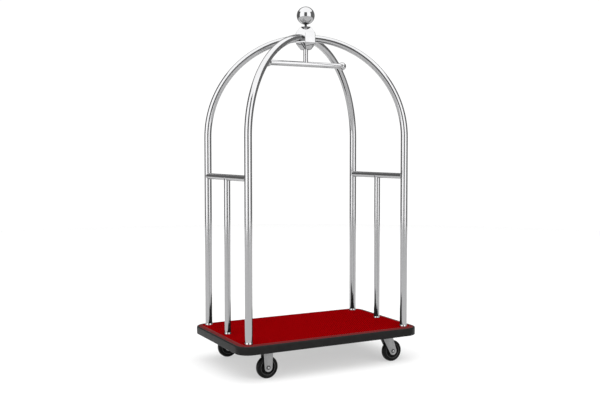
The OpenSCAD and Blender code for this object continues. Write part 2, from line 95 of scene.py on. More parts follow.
WHEELS = {}
for place in ("front_left", "back_left", "front_right", "back_right"):
    lo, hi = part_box("tyre_" + place)
    WHEELS[place] = (lo + hi) / 2
tyre_lo, tyre_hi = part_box("tyre_front_left")
WHEEL_RADIUS = (tyre_hi.x - tyre_lo.x) / 2
TYRE_HALF = (tyre_hi.y - tyre_lo.y) / 2
plate_lo, plate_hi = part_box("fork_front_left")
crown_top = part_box("fork_front_right")[1].z
LEG_GAP = 34 * MM
LEG_THICKNESS = 3 * MM
LEG_END_RADIUS = 21 * MM
RIGID_LEG_HALF = 27 * MM
SWIVEL_LEG_HALF = 31 * MM
TOP_INSET = 1.2 * MM  # of a leg's top below the top of its crown or plate
CASTER_X = -WHEELS["front_left"].x


# ---------- material building blocks ----------

class Finish:
    """A procedural Principled material, built up node by node."""

    def __init__(self, name, **numbers):
        self.material = bpy.data.materials.new(name)
        self.material.use_nodes = True
        self.tree = self.material.node_tree
        self.shader = self.tree.nodes["Principled BSDF"]
        for socket, value in numbers.items():
            self.shader.inputs[socket.replace("_", " ")].default_value = value
        self.coords = self.node("ShaderNodeTexCoord").outputs["Object"]

    def node(self, kind, **settings):
        made = self.tree.nodes.new(kind)
        for key, value in settings.items():
            setattr(made, key, value)
        return made

    def link(self, output, target):
        self.tree.links.new(output, target)

    def stretched(self, stretch, turn=0.0):
        mapping = self.node("ShaderNodeMapping")
        mapping.inputs["Scale"].default_value = stretch
        mapping.inputs["Rotation"].default_value = (0, 0, turn)
        self.link(self.coords, mapping.inputs["Vector"])
        return mapping.outputs["Vector"]

    def noise(self, scale, detail=3.0, roughness=0.55, stretch=(1, 1, 1), turn=0.0):
        made = self.node("ShaderNodeTexNoise")
        made.inputs["Scale"].default_value = scale
        made.inputs["Detail"].default_value = detail
        made.inputs["Roughness"].default_value = roughness
        self.link(self.stretched(stretch, turn), made.inputs["Vector"])
        return made.outputs[0]

    def cells(self, scale, stretch=(1, 1, 1), feature="F1"):
        made = self.node("ShaderNodeTexVoronoi", feature=feature)
        made.inputs["Scale"].default_value = scale
        self.link(self.stretched(stretch), made.inputs["Vector"])
        return made.outputs["Distance"]

    def spread(self, value, low, high, start=0.35, end=0.65):
        made = self.node("ShaderNodeMapRange")
        for key, number in (("From Min", start), ("From Max", end), ("To Min", low), ("To Max", high)):
            made.inputs[key].default_value = number
        self.link(value, made.inputs["Value"])
        return made.outputs["Result"]

    def mix(self, factor, first, second):
        made = self.node("ShaderNodeMix", data_type="RGBA")
        self.link(factor, made.inputs[0])
        for slot, value in ((6, first), (7, second)):
            if isinstance(value, tuple):
                made.inputs[slot].default_value = (*value, 1.0)
            else:
                self.link(value, made.inputs[slot])
        return made.outputs[2]

    def times(self, first, second):
        made = self.node("ShaderNodeMath", operation="MULTIPLY")
        for slot, value in ((0, first), (1, second)):
            if isinstance(value, float):
                made.inputs[slot].default_value = value
            else:
                self.link(value, made.inputs[slot])
        return made.outputs[0]

    def plus(self, first, second):
        made = self.node("ShaderNodeMath", operation="ADD")
        self.link(first, made.inputs[0])
        self.link(second, made.inputs[1])
        return made.outputs[0]

    def colour(self, socket):
        self.link(socket, self.shader.inputs["Base Color"])
        return self

    def rough(self, socket):
        self.link(socket, self.shader.inputs["Roughness"])
        return self

    def bump(self, height, distance, strength=1.0):
        made = self.node("ShaderNodeBump")
        made.inputs["Distance"].default_value = distance
        made.inputs["Strength"].default_value = strength
        self.link(height, made.inputs["Height"])
        self.link(made.outputs["Normal"], self.shader.inputs["Normal"])
        return self


def chrome_tube():
    """Polished tube with faint handling smudges."""
    made = Finish("chrome_tube", Metallic=1.0)
    smudge = made.noise(7, 4, 0.6, (1, 1, 0.3))
    made.colour(made.mix(made.spread(smudge, 0, 1), (0.365, 0.365, 0.37), (0.385, 0.385, 0.39)))
    return made.rough(made.spread(smudge, 0.09, 0.11)).material


def chrome_polish():
    """Mirror chrome of the cast hub, the balls and the collars."""
    made = Finish("chrome_polish", Metallic=1.0)
    haze = made.noise(22, 4, 0.6)
    made.colour(made.mix(made.spread(haze, 0, 1), (0.365, 0.365, 0.37), (0.385, 0.385, 0.39)))
    made.rough(made.spread(haze, 0.03, 0.06))
    return made.bump(made.noise(90, 2), 0.000003).material


def neck_painted_shade():
    """Near-black steel of the finial's neck and washer: painted shade of the gap under the ball, which also
    darkens the ball's underside in reflection.
    """
    made = Finish("neck_painted_shade", Metallic=0.7)
    haze = made.noise(150, 4, 0.6)
    made.colour(made.mix(made.spread(haze, 0, 1), (0.02, 0.02, 0.022), (0.035, 0.035, 0.036)))
    made.rough(made.spread(haze, 0.3, 0.45))
    return made.bump(haze, 0.00004).material


def red_carpet():
    """Deep red cord: fibre tufts on the ribs, and painted shade that darkens the grooves between them to near
    black.
    """
    made = Finish("red_carpet", Specular_IOR_Level=0.0)
    parts = made.node("ShaderNodeSeparateXYZ")
    made.link(made.coords, parts.inputs[0])
    # height up the rib's side, used as the mask of the painted groove shade
    groove_shade_mask = made.spread(parts.outputs[2], 0, 1, carpet_hi.z - RIB_HEIGHT, carpet_hi.z - 0.05 * MM)
    tufts = made.noise(700, 3, 0.7)
    patches = made.noise(5, 3, 0.5)
    pile = made.mix(made.spread(tufts, 0, 1, 0.3, 0.7), (0.27, 0.0004, 0.0012), (0.4, 0.0008, 0.0024))
    worn = made.mix(made.spread(patches, 0.0, 0.4), pile, (0.34, 0.0009, 0.003))
    # painted shade: near black at the bottom of each groove, fading to the full red towards the rib's crest
    made.colour(made.mix(groove_shade_mask, (0.015, 0.0001, 0.0002), worn))
    made.rough(made.spread(tufts, 0.85, 1.0))
    height = made.plus(made.times(made.cells(420), 0.6), made.times(tufts, 0.8))
    return made.bump(height, 0.0006, 0.8).material


def border_painted_shade():
    """Darker red of the carpet's sloping border, painted shade of the slope that turns away from the overhead
    light, with a fine weave.
    """
    made = Finish("border_painted_shade", Specular_IOR_Level=0.15)
    weave = made.cells(900, (1, 1, 1))
    # painted shade: the whole border is a darker red than the carpet's pile
    made.colour(made.mix(made.spread(weave, 0, 1, 0.1, 0.7), (0.13, 0.001, 0.0015), (0.085, 0.0006, 0.001)))
    made.rough(made.spread(weave, 0.45, 0.6))
    return made.bump(weave, 0.0002, 0.5).material


def carpet_backing():
    """Black latex backing under the pile."""
    made = Finish("carpet_backing", Specular_IOR_Level=0.1)
    grain = made.noise(500, 3)
    made.colour(made.mix(made.spread(grain, 0, 1), (0.006, 0.005, 0.005), (0.012, 0.008, 0.008)))
    made.rough(made.spread(grain, 0.7, 0.9))
    return made.bump(grain, 0.0002).material


def bumper_rubber():
    """Extruded black rubber, wiped to a dull gloss, with matte mottling."""
    made = Finish("bumper_rubber", Specular_IOR_Level=0.07)
    mottled = made.noise(30, 5, 0.6)
    made.colour(made.mix(made.spread(mottled, 0, 1), (0.0085, 0.0085, 0.0085), (0.0115, 0.0113, 0.011)))
    made.rough(made.spread(mottled, 0.3, 0.4))
    return made.bump(made.noise(900, 2), 0.00002, 0.5).material


def tyre_rubber():
    """Smooth black tyre with scuffs and a light dusting."""
    made = Finish("tyre_rubber", Specular_IOR_Level=0.1)
    scuffs = made.noise(120, 5, 0.7)
    dusted = made.spread(scuffs, 0, 1, 0.4, 0.75)
    made.colour(made.mix(dusted, (0.0022, 0.0022, 0.0022), (0.007, 0.0068, 0.0065)))
    made.rough(made.spread(scuffs, 0.26, 0.4))
    return made.bump(made.noise(700, 3), 0.00012, 0.5).material


def core_plastic():
    """Moulded black polypropylene with a fine spark-eroded grain."""
    made = Finish("core_plastic", Specular_IOR_Level=0.1)
    grain = made.noise(900, 2)
    made.colour(made.mix(made.spread(grain, 0, 1), (0.003, 0.003, 0.003), (0.006, 0.006, 0.006)))
    made.rough(made.spread(made.noise(40), 0.38, 0.5))
    return made.bump(grain, 0.0001, 0.5).material


def grey_steel_and_lit_edge():
    """Thin grey ring between tyre and core, a painted highlight of the core's lit edge; the axle washers are
    dull grey steel of the same finish.
    """
    made = Finish("grey_steel_and_lit_edge", Metallic=0.85)
    haze = made.noise(140, 4, 0.6)
    made.colour(made.mix(made.spread(haze, 0, 1), (0.05, 0.05, 0.052), (0.08, 0.08, 0.08)))
    made.rough(made.spread(haze, 0.35, 0.5))
    return made.bump(haze, 0.00005, 0.4).material


def caster_steel():
    """Dull zinc-plated pressing: faint spangle, rolling lines and fine pitting."""
    made = Finish("caster_steel", Metallic=0.75)
    spangle = made.cells(160)
    rolled = made.noise(300, 3, 0.6, (1, 1, 0.06))
    made.colour(made.mix(made.spread(spangle, 0, 1, 0.1, 0.6), (0.2, 0.2, 0.202), (0.25, 0.25, 0.252)))
    made.rough(made.plus(made.spread(rolled, 0.36, 0.44), made.times(spangle, 0.08)))
    return made.bump(made.plus(rolled, made.noise(1500, 2)), 0.00005, 0.5).material


def zinc_steel():
    """Bright zinc plate of bolts, nuts and plates."""
    made = Finish("zinc_steel", Metallic=0.95)
    spangle = made.cells(500)
    made.colour(made.mix(made.spread(spangle, 0, 1, 0.1, 0.6), (0.3, 0.3, 0.31), (0.42, 0.42, 0.425)))
    made.rough(made.spread(made.noise(200, 4), 0.22, 0.36))
    return made.bump(made.noise(1200, 2), 0.00004, 0.5).material


def frame_paint():
    """Black powder coat with orange peel."""
    made = Finish("frame_paint", Specular_IOR_Level=0.35)
    peel = made.noise(420, 2, 0.4)
    made.colour(made.mix(made.spread(peel, 0, 1), (0.016, 0.016, 0.017), (0.024, 0.024, 0.026)))
    made.rough(made.spread(made.noise(35, 4), 0.35, 0.5))
    return made.bump(peel, 0.00015, 0.5).material


def plywood():
    """Film-faced plywood: dark film with the grain showing through, thin plies on the edges."""
    made = Finish("plywood", Specular_IOR_Level=0.2)
    grain = made.noise(36, 6, 0.65, (0.06, 1.0, 1.0))
    plies = made.node("ShaderNodeTexWave", bands_direction="Z")
    plies.inputs["Scale"].default_value = 110
    plies.inputs["Distortion"].default_value = 0.4
    made.link(made.coords, plies.inputs["Vector"])
    wood = made.mix(made.spread(grain, 0, 1), (0.035, 0.03, 0.027), (0.07, 0.062, 0.056))
    made.colour(made.mix(made.spread(plies.outputs["Fac"], 0, 0.4, 0.3, 0.8), wood, (0.16, 0.13, 0.1)))
    made.rough(made.spread(grain, 0.55, 0.75))
    return made.bump(grain, 0.0002, 0.5).material


def bush_plastic():
    """Off-white nylon of the wheel bushes."""
    made = Finish("bush_plastic", Specular_IOR_Level=0.4)
    grain = made.noise(200, 4)
    made.colour(made.mix(made.spread(grain, 0, 1), (0.62, 0.6, 0.53), (0.72, 0.7, 0.63)))
    made.rough(made.spread(grain, 0.4, 0.55))
    return made.bump(grain, 0.00005, 0.4).material


FINISHES = {
    "plywood": plywood(),
    "red_carpet": red_carpet(),
    "bumper_rubber": bumper_rubber(),
    "frame_steel": frame_paint(),
    "zinc_steel": zinc_steel(),
    "chrome_tube": chrome_tube(),
    "chrome_polish": chrome_polish(),
    "caster_steel": caster_steel(),
    "bush_plastic": bush_plastic(),
    "core_plastic": core_plastic(),
    "tyre_rubber": tyre_rubber(),
}
GREY_STEEL_AND_LIT_EDGE = grey_steel_and_lit_edge()
NECK_PAINTED_SHADE = neck_painted_shade()
CARPET_BACKING = carpet_backing()
BORDER_PAINTED_SHADE = border_painted_shade()


# ---------- mesh building blocks ----------

class Shape:
    """Collects vertices and faces of one piece, in the frame's own coordinates."""

    def __init__(self):
        self.verts = []
        self.faces = []

    def rings(self, rings, looped=False, caps=(True, True)):
        """Skins a row of closed rings with the same number of points."""
        start = len(self.verts)
        count = len(rings[0])
        for ring in rings:
            self.verts.extend(ring)
        spans = len(rings) if looped else len(rings) - 1
        for i in range(spans):
            a = start + i * count
            b = start + ((i + 1) % len(rings)) * count
            for j in range(count):
                k = (j + 1) % count
                self.faces.append((a + j, a + k, b + k, b + j))
        if not looped and caps[0]:
            self.faces.append(tuple(start + j for j in reversed(range(count))))
        if not looped and caps[1]:
            last = start + (len(rings) - 1) * count
            self.faces.append(tuple(last + j for j in range(count)))
        return self

    def revolve(self, profile, centre, axis, segments=64, closed=False):
        """Turns (radius, height) points about an axis. A closed profile makes a ring-shaped solid."""
        turn = Z.rotation_difference(axis)
        rings = []
        for radius, height in profile:
            ring = []
            for j in range(segments):
                angle = math.tau * j / segments
                local = Vector((radius * math.cos(angle), radius * math.sin(angle), height))
                ring.append(centre + turn @ local)
            rings.append(ring)
        return self.rings(rings, looped=closed)

    def plate(self, outline, low, high, place):
        """Extrudes a 2-D outline from low to high; place turns (u, v, w) into a point."""
        return self.rings([[place(u, v, w) for u, v in outline] for w in (low, high)])

    def piece(self, name, body, slot, replaces=(), finish=None, sharp=35, bevel=0.0):
        """Makes the Blender object, smooth-shaded with crisp edges where it turns sharply."""
        mesh = bpy.data.meshes.new(name)
        mesh.from_pydata([tuple(v) for v in self.verts], [], self.faces)
        cleaned = bmesh.new()
        cleaned.from_mesh(mesh)
        bmesh.ops.remove_doubles(cleaned, verts=cleaned.verts, dist=1e-7)
        bmesh.ops.recalc_face_normals(cleaned, faces=cleaned.faces)
        cleaned.to_mesh(mesh)
        cleaned.free()
        mesh.shade_smooth()
        mesh.set_sharp_from_angle(angle=math.radians(sharp))
        mesh.materials.append(finish or FINISHES[slot])
        made = bpy.data.objects.new(name, mesh)
        bpy.context.scene.collection.objects.link(made)
        if bevel:
            rounding = made.modifiers.new("edges", "BEVEL")
            rounding.width = bevel
            rounding.segments = 3
            rounding.limit_method = "ANGLE"
            rounding.angle_limit = math.radians(40)
            rounding.harden_normals = True
        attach(made, body)
        if replaces:
            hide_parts(*replaces)
        return made


def arc(centre_u, centre_v, radius, start, end, steps):
    """Points of a circular arc, angles in degrees."""
    points = []
    for i in range(steps + 1):
        angle = math.radians(start + (end - start) * i / steps)
        points.append((centre_u + radius * math.cos(angle), centre_v + radius * math.sin(angle)))
    return points


def rounded(corners, radius, steps=4):
    """A closed outline with each corner replaced by a small curve of about that radius."""
    points = []
    for i, corner in enumerate(corners):
        here = Vector(corner)
        back = Vector(corners[i - 1]) - here
        ahead = Vector(corners[(i + 1) % len(corners)]) - here
        reach = min(radius, back.length * 0.45, ahead.length * 0.45)
        start = here + back.normalized() * reach
        end = here + ahead.normalized() * reach
        for j in range(steps + 1):
            t = j / steps
            point = start * (1 - t) ** 2 + here * (2 * t * (1 - t)) + end * t ** 2
            points.append((point.x, point.y))
    return points


def rounded_hexagon(radius, corner):
    """Hexagon with its corners on the X axis and every 60 degrees, rounded a little."""
    corners = [(radius * math.cos(math.radians(60 * k)), radius * math.sin(math.radians(60 * k)))
               for k in range(6)]
    return rounded(corners, corner, 5)


def deck_outline(radius, steps=14):
    """The deck's rounded outline at a given distance from its corner centres."""
    points = []
    for sx, sy, start in ((1, 1, 0), (-1, 1, 90), (-1, -1, 180), (1, -1, 270)):
        points += arc(sx * CORNER_X, sy * CORNER_Y, radius, start, start + 90, steps)
    return points


def deck_loop(profile, steps=18):
    """A profile of (distance from the corner centres, height) carried round the deck."""
    rings = []
    for sx, sy, start in ((1, 1, 0), (-1, 1, 90), (-1, -1, 180), (1, -1, 270)):
        centre = Vector((sx * CORNER_X, sy * CORNER_Y, 0))
        for i in range(steps + 1):
            angle = math.radians(start + 90 * i / steps)
            out = Vector((math.cos(angle), math.sin(angle), 0))
            rings.append([centre + out * r + Z * z for r, z in profile])
    return Shape().rings(rings, looped=True)


# ---------- deck ----------

def carpet_rows(outline, pitch):
    """Rows of points along the diagonal ribs, edge to edge, each row at its height on a rib's profile."""
    samples = 8
    steps = 48
    diagonal = math.sqrt(0.5)
    turned = [((x + y) * diagonal, (y - x) * diagonal) for x, y in outline]
    reach = max(v for u, v in turned)
    rows = []
    for i in range(1, int(2 * reach / pitch * samples)):
        across = -reach + i * pitch / samples
        crossings = []
        for j, (u0, v0) in enumerate(turned):
            u1, v1 = turned[(j + 1) % len(turned)]
            if (v0 - across) * (v1 - across) < 0:
                crossings.append(u0 + (u1 - u0) * (across - v0) / (v1 - v0))
        if len(crossings) != 2:
            continue
        low, high = min(crossings), max(crossings)
        phase = (across / pitch) % 1.0
        height = carpet_hi.z - RIB_HEIGHT * math.cos(math.pi * phase) ** 2
        row = []
        for j in range(steps + 1):
            along = low + (high - low) * j / steps
            row.append(Vector(((along - across) * diagonal, (along + across) * diagonal, height)))
        rows.append(row)
    return rows


def carpet():
    """Diagonal cord ribs, laid as strips that end on the deck's rounded outline, over a backing."""
    lap = 0.6 * MM  # of the ribs over the border
    outline = deck_outline(FIELD_RADIUS + lap, 40)
    rows = carpet_rows(outline, pitch=10.5 * MM)
    made = Shape()
    for row in rows:
        made.verts.extend(row)
    width = len(rows[0])
    for i in range(len(rows) - 1):
        for j in range(width - 1):
            a = i * width + j
            made.faces.append((a, a + 1, a + 1 + width, a + width))
    ribs = made.piece("carpet_ribs", "root", "red_carpet", ["carpet"], sharp=80)
    ribs.visible_glossy = False
    levels = (board_top, carpet_hi.z - 1.2 * RIB_HEIGHT)
    backing = Shape().rings([[Vector((x, y, z)) for x, y in outline] for z in levels])
    backing.piece("carpet_backing", "root", "red_carpet", finish=CARPET_BACKING)


def carpet_border():
    """Border that curves down from the ribbed field to the bumper's rim, coloured with painted shade."""
    edge = bumper_hi.z - 0.5 * MM
    bevel = 0.8 * MM
    inner = FIELD_RADIUS - 1 * MM  # hidden under the ribs
    rise = carpet_hi.z - 0.2 * MM - edge
    outer = CARPET_RADIUS - bevel
    profile = [(inner, board_top), (CARPET_RADIUS, board_top), (CARPET_RADIUS, edge - bevel), (outer, edge)]
    steps = 6
    for i in range(1, steps + 1):
        t = i / steps
        profile.append((outer - (BORDER_WIDTH - bevel) * t, edge + rise * math.sin(math.pi / 2 * t)))
    profile.append((inner, carpet_hi.z - 0.4 * MM))
    # painted shade: the sloping border gets the darker red
    shaded_border = deck_loop(profile).piece("carpet_border", "root", "red_carpet", finish=BORDER_PAINTED_SHADE, sharp=50)
    shaded_border.visible_glossy = False


def bumper():
    """Rubber band with rounded edges, a rim round the carpet, a flange under it and a lower lip."""
    top, foot = bumper_hi.z, bumper_lo.z
    outer = CORNER_RADIUS
    rim = CARPET_RADIUS + 0.05 * MM
    foot_round, top_round, edge = 5 * MM, 6 * MM, 1 * MM
    lip, lip_bevel = 3 * MM, 0.6 * MM
    lip_top = foot + 2 * MM
    profile = arc(outer - foot_round, foot + foot_round, foot_round, -90, 0, 6)
    profile += arc(outer - top_round, top - top_round, top_round, 0, 90, 10)
    profile += arc(rim + edge, top - edge, edge, 90, 180, 4)
    profile += [(rim, board_top), (BAND_RADIUS, board_top), (BAND_RADIUS, lip_top)]
    profile += [(BAND_RADIUS - lip, lip_top), (BAND_RADIUS - lip, foot + 0.4 * MM)]
    profile += [(BAND_RADIUS - lip + lip_bevel, foot)]
    deck_loop(profile).piece("bumper_band", "root", "bumper_rubber", ["bumper"], sharp=50)


# ---------- cage ----------

def hoop(name, angle_degrees):
    """Straight post and quarter bend, ending flat against the hub's face."""
    angle = math.radians(angle_degrees)
    out = Vector((math.cos(angle), math.sin(angle), 0))
    side = Z.cross(out)
    segments = 48
    turns = [math.tau * j / segments for j in range(segments)]

    def ring(bend_angle_at):
        points = []
        for turn in turns:
            reach = BEND_RADIUS + TUBE_RADIUS * math.cos(turn)
            bend = bend_angle_at(reach)
            flat = out * (reach * math.cos(bend)) + side * (TUBE_RADIUS * math.sin(turn))
            points.append(flat + Z * (SPRING_Z + reach * math.sin(bend)))
        return points

    rings = []
    for height in (board_top, carpet_hi.z + 30 * MM, CROSSBAR_Z, SPRING_Z - 60 * MM):
        base = ring(lambda reach: 0.0)
        rings.append([Vector((p.x, p.y, height)) for p in base])
    steps = 84
    last = math.acos((HUB_FACE + 6 * MM) / BEND_RADIUS)
    for i in range(steps + 1):
        rings.append(ring(lambda reach, i=i: last * i / steps))
    rings.append(ring(lambda reach: math.acos(HUB_FACE / reach)))
    made = Shape().rings(rings)
    made.piece(name + "_tube", "root", "chrome_tube", [name], sharp=40)


def end_frame(side_name, sign):
    """Crossbar coped to the posts, mid post coped to the crossbar, and the weld beads."""
    x = sign * POST_X
    segments = 44
    turns = [math.tau * j / segments for j in range(segments)]

    def bar_ring(y_at):
        return [Vector((x + SLIM_RADIUS * math.cos(t), y_at(t), CROSSBAR_Z + SLIM_RADIUS * math.sin(t)))
                for t in turns]

    def saddle(end):
        return lambda t: end * (POST_Y - math.sqrt(TUBE_RADIUS ** 2 - (SLIM_RADIUS * math.cos(t)) ** 2))

    middle = [bar_ring(lambda t, y=y: y) for y in (-0.16, -0.05, 0.05, 0.16)]
    bar = Shape().rings([bar_ring(saddle(-1))] + middle + [bar_ring(saddle(1))])
    bar.piece("crossbar_" + side_name + "_tube", "root", "chrome_tube", ["crossbar_" + side_name], sharp=40)

    def post_ring(z_at):
        return [Vector((x + SLIM_RADIUS * math.cos(t), SLIM_RADIUS * math.sin(t), z_at(t))) for t in turns]

    levels = [post_ring(lambda t, z=z: z) for z in (board_top, 0.4, CROSSBAR_Z - 0.06)]
    top = post_ring(lambda t: CROSSBAR_Z - abs(SLIM_RADIUS * math.sin(t)))
    Shape().rings(levels + [top]).piece(
        "mid_post_" + side_name + "_tube", "root", "chrome_tube", ["mid_post_" + side_name], sharp=40)

    beads = Shape()
    for end in (-1, 1):
        post = Vector((x, end * POST_Y, CROSSBAR_Z))
        beads.rings(bead_rings(bar_ring(saddle(end)), post, 1.5 * MM), looped=True)
    beads.rings(bead_rings(top, Vector((x, 0, CROSSBAR_Z)), 1.2 * MM), looped=True)
    beads.piece("weld_beads_" + side_name, "root", "chrome_tube", sharp=60)


def bead_rings(curve, inside, radius):
    """Small round bead along a closed curve, for a polished weld."""
    rings = []
    count = len(curve)
    for i, point in enumerate(curve):
        along = (curve[(i + 1) % count] - curve[i - 1]).normalized()
        away = point - inside
        away = (away - along * away.dot(along)).normalized()
        over = along.cross(away)
        turns = [math.tau * j / 8 for j in range(8)]
        rings.append([point + (away * math.cos(t) + over * math.sin(t)) * radius for t in turns])
    return rings


def collars():
    """Bright ring at the foot of each post, tapering up to the tube."""
    lo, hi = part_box("base_collars")
    height = hi.z - lo.z
    proud = hi.x - POST_X - TUBE_RADIUS
    upright = height - 7.5 * MM
    made = Shape()
    spots = [(sx * POST_X, sy * POST_Y, TUBE_RADIUS) for sx in (-1, 1) for sy in (-1, 1)]
    spots += [(-POST_X, 0, SLIM_RADIUS), (POST_X, 0, SLIM_RADIUS)]
    for x, y, radius in spots:
        inner, outer = radius - 0.5 * MM, radius + proud
        corners = [(inner, 0), (outer, 0), (outer, upright), (radius + 0.2 * MM, height), (inner, height)]
        made.revolve(rounded(corners, 0.6 * MM), Vector((x, y, lo.z)), Z, 48, closed=True)
    made.piece("post_collars", "root", "chrome_polish", ["base_collars"], sharp=50)


# ---------- hub, finial and garment bar ----------

def hex_loft(levels, corner=2 * MM):
    """Rings of rounded hexagons at (radius, height) levels."""
    return [[Vector((x, y, z)) for x, y in rounded_hexagon(radius, corner)] for radius, z in levels]


def hub():
    """Cast body with softly rounded shoulders under the upper cap, and crisp lower edges."""
    low, high = cap_lo.z - (hub_hi.z - hub_lo.z), cap_lo.z
    height = cap_hi.z - cap_lo.z
    slope = (HUB_RADIUS - CAP_END_RADIUS) / height
    soft, shoulder, edge = 1.2 * MM, 9 * MM, 2.5 * MM

    def shoulder_level(t):
        """Curve from the upright face into the slope of the cap."""
        start, peak = Vector((HUB_RADIUS, high - shoulder)), Vector((HUB_RADIUS, high))
        end = peak + Vector((-slope, 1)).normalized() * shoulder
        return tuple(start * (1 - t) ** 2 + peak * (2 * t * (1 - t)) + end * t ** 2)

    body = [(HUB_RADIUS - soft, low), (HUB_RADIUS - 0.3 * soft, low + 0.3 * soft), (HUB_RADIUS, low + soft)]
    body += [shoulder_level(i / 10) for i in range(6)]
    Shape().rings(hex_loft(body)).piece("hub_casting", "root", "chrome_polish", ["hub_body"], sharp=30)

    upper = [shoulder_level(0.5 + i / 10) for i in range(6)]
    small_end = [(CAP_END_RADIUS + edge * slope, height - edge),
                 (CAP_END_RADIUS - 0.3 * edge, height - 0.35 * edge),
                 (CAP_END_RADIUS - edge, height)]
    upper += [(r, high + h) for r, h in small_end]
    Shape().rings(hex_loft(upper)).piece(
        "hub_top_cap_casting", "root", "chrome_polish", ["hub_top_cap"], sharp=28)

    lower = [(HUB_RADIUS - soft, 0), (HUB_RADIUS - 0.4 * soft, 0.4 * soft)]
    lower += [(HUB_RADIUS - 1.6 * soft * slope, 1.6 * soft)] + small_end
    Shape().rings(hex_loft([(r, low - h) for r, h in lower])).piece(
        "hub_bottom_cap_casting", "root", "chrome_polish", ["hub_bottom_cap"], sharp=28)


def finial():
    """Mirror ball with a small flat at its foot, on a waisted neck and a dark washer, both near black as
    painted shade under the ball.
    """
    foot = math.acos(1 - 2 * MM / BALL_RADIUS)
    profile = [(4 * MM, -BALL_RADIUS * math.cos(foot))]
    steps = 60
    for i in range(steps + 1):
        angle = foot + (math.pi - foot) * i / steps
        profile.append((max(BALL_RADIUS * math.sin(angle), POLE), -BALL_RADIUS * math.cos(angle)))
    Shape().revolve(profile, BALL_CENTRE, Z, 96).piece(
        "finial_ball_shell", "root", "chrome_polish", ["finial_ball"], sharp=50)
    lo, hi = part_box("finial_neck")
    height = hi.z - lo.z
    outline = [(8 * MM, 0), (8 * MM, 1.6 * MM), (6.4 * MM, 3.4 * MM), (6.2 * MM, height - 3 * MM),
               (7.6 * MM, height - 1.4 * MM), (7.6 * MM, height)]
    neck = Shape().revolve(outline, Vector((0, 0, lo.z)), Z, 48)
    washer(neck, Vector((0, 0, lo.z)), Z, 8 * MM, 14 * MM, 1.2 * MM)
    # painted shade: neck and washer are near black, standing in for the shadowed gap under the ball
    neck.piece("finial_neck_turned", "root", "chrome_polish", ["finial_neck"], finish=NECK_PAINTED_SHADE, sharp=50)


def garment_bar():
    """Stem coped and welded to the bar, and a ball that takes in each end of the bar."""
    segments = 44
    turns = [math.tau * j / segments for j in range(segments)]
    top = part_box("hanger_stem")[1].z

    def stem_ring(z_at):
        return [Vector((STEM_RADIUS * math.cos(t), STEM_RADIUS * math.sin(t), z_at(t))) for t in turns]

    saddle = stem_ring(lambda t: BAR_Z + math.sqrt(BAR_RADIUS ** 2 - (STEM_RADIUS * math.sin(t)) ** 2))
    stem = Shape().rings([saddle, stem_ring(lambda t: BAR_Z + 25 * MM), stem_ring(lambda t: top)])
    stem.rings(bead_rings(saddle, Vector((0, 0, BAR_Z)), 1.1 * MM), looped=True)
    stem.piece("hanger_stem_tube", "root", "chrome_tube", ["hanger_stem"], sharp=40)

    profile = [(BAR_RADIUS, bar_hi.x * share) for share in (-1, -0.5, 0, 0.5, 1)]
    Shape().revolve(profile, Vector((0, 0, BAR_Z)), X, 48).piece(
        "hanger_bar_tube", "root", "chrome_tube", ["hanger_bar"], sharp=40)

    balls = Shape()
    start = math.asin((BAR_RADIUS + 1 * MM) / END_BALL_RADIUS)
    for sign in (-1, 1):
        mouth = -END_BALL_RADIUS * math.cos(start)
        outline = [(9 * MM, mouth + 1 * MM), (BAR_RADIUS, mouth + 0.4 * MM)]
        for i in range(37):
            angle = start + (math.pi - start) * i / 36
            outline.append((max(END_BALL_RADIUS * math.sin(angle), POLE), -END_BALL_RADIUS * math.cos(angle)))
        balls.revolve(outline, Vector((sign * END_BALL_X, 0, BAR_Z)), X * sign, 48)
    balls.piece("hanger_end_balls", "root", "chrome_polish", ["hanger_balls"], sharp=50)


# ---------- casters ----------

def leg_outline(top_half, top_z, axle_x, axle_z, radius):
    """Two straight edges from the crown, tangent to the round end at the axle."""
    def tangent(corner_x, sign):
        dx, dz = corner_x - axle_x, top_z - axle_z
        return math.degrees(math.atan2(dz, dx) - sign * math.acos(radius / math.hypot(dx, dz)))

    right, left = tangent(top_half, 1), tangent(-top_half, -1)
    points = [(-top_half, top_z), (top_half, top_z)]
    return points + arc(axle_x, axle_z, radius, right, left - 360, 28)


def pressed_leg(shape, top_half, top_z, root, axle, side):
    """Fork leg whose outer face is pressed in a little inside a flat border."""
    border, draft, depth = 5 * MM, 1.8 * MM, 0.8 * MM
    outer = side * (LEG_GAP / 2 + LEG_THICKNESS)
    levels = ((0, side * LEG_GAP / 2), (0, outer), (border, outer), (border + draft, outer - side * depth))
    rings = []
    for inset, across in levels:
        outline = leg_outline(top_half - inset, top_z, axle.x - root.x, axle.z, LEG_END_RADIUS - inset)
        rings.append([Vector((root.x + u, root.y + across, v)) for u, v in outline])
    shape.rings(rings)


def washer(shape, centre, axis, inner, outer, thickness):
    """Flat ring with softened edges."""
    corners = [(inner, 0), (outer, 0), (outer, thickness), (inner, thickness)]
    shape.revolve(rounded(corners, 0.3 * MM, 2), centre, axis, 40, closed=True)


def button_head(shape, centre, axis, radius, height):
    """Domed bolt head with a hexagon socket."""
    count = 48
    turn = Z.rotation_difference(axis)
    socket_radius = radius * 0.42
    rings = []
    for share, level in ((1.0, 0.0), (1.0, 0.2), (0.95, 0.5), (0.82, 0.78), (0.62, 0.95), (0.5, 1.0)):
        rings.append([(radius * share, height * level, False)] * count)
    for level in (1.0, 0.35):
        rings.append([(socket_radius, height * level, True)] * count)
    placed = []
    for ring in rings:
        points = []
        for j, (reach, level, hexagonal) in enumerate(ring):
            angle = math.tau * j / count
            if hexagonal:
                reach *= math.cos(math.pi / 6) / math.cos((angle + math.pi / 6) % (math.pi / 3) - math.pi / 6)
            points.append(centre + turn @ Vector((reach * math.cos(angle), reach * math.sin(angle), level)))
        placed.append(points)
    shape.rings(placed)


